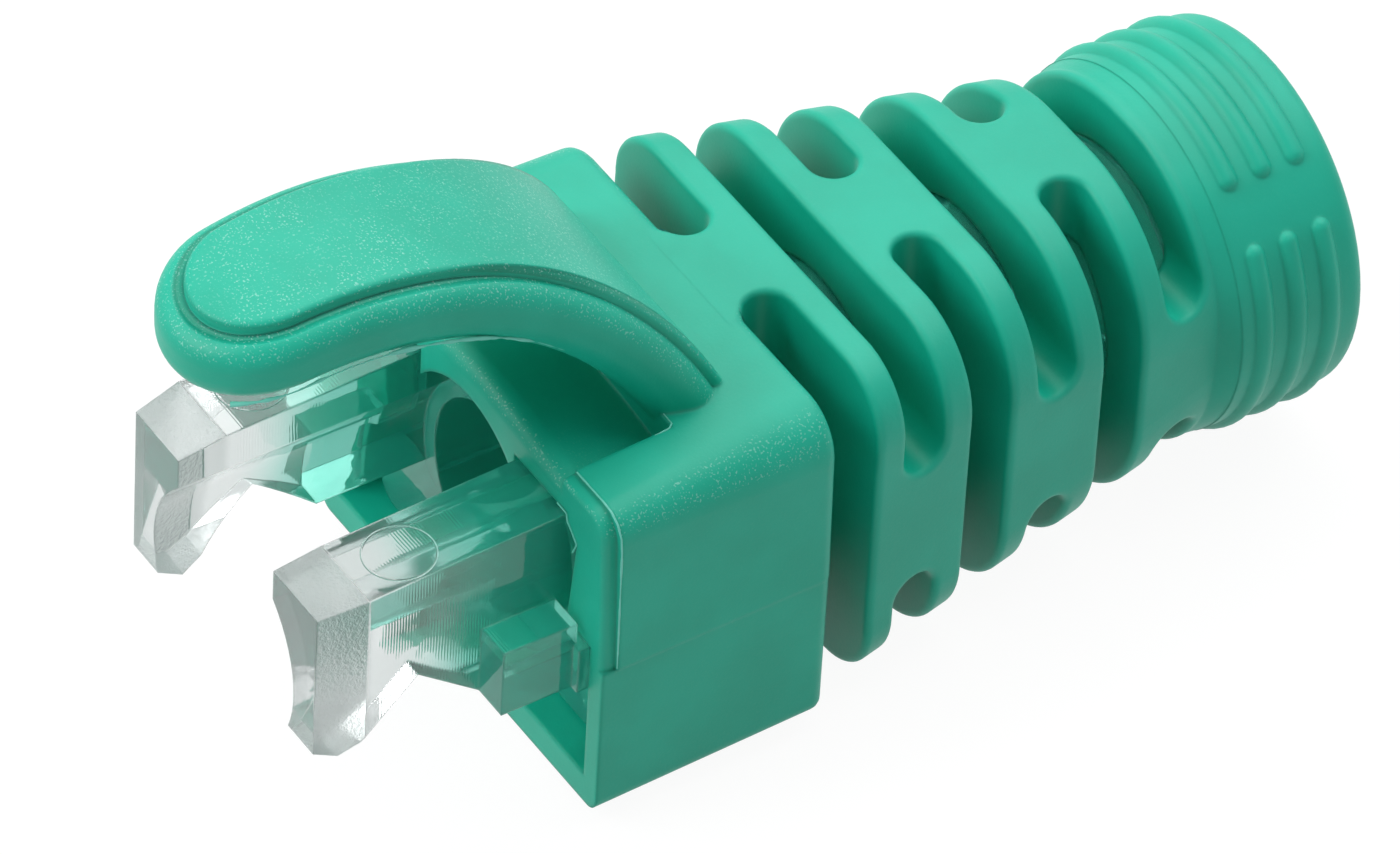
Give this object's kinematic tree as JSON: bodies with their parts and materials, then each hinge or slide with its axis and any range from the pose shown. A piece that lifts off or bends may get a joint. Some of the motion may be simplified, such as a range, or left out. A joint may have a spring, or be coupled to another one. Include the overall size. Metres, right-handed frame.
{
  "type": "cable strain relief boot",
  "caption": "Soft boot with a slotted bending neck, a grip cuff and an arched latch tongue, over a clear clip insert with hooked arms.",
  "frame": {"origin": "on the cable axis, in the plane of the front lip round the plug mouth", "axes": "+Y along the cable axis towards the tail, +Z towards the latch tongue, +X to the right seen from the plug side"},
  "size_m": [0.0142, 0.0351, 0.0179],
  "materials": {
    "boot": "soft moulded, fine grain, slightly translucent",
    "clear_insert": "clear, glossy, frosted on the hook noses"
  },
  "bodies": {
    "root": {"boot": "boot", "clip_insert": "clear_insert"}
  },
  "joints": []
}
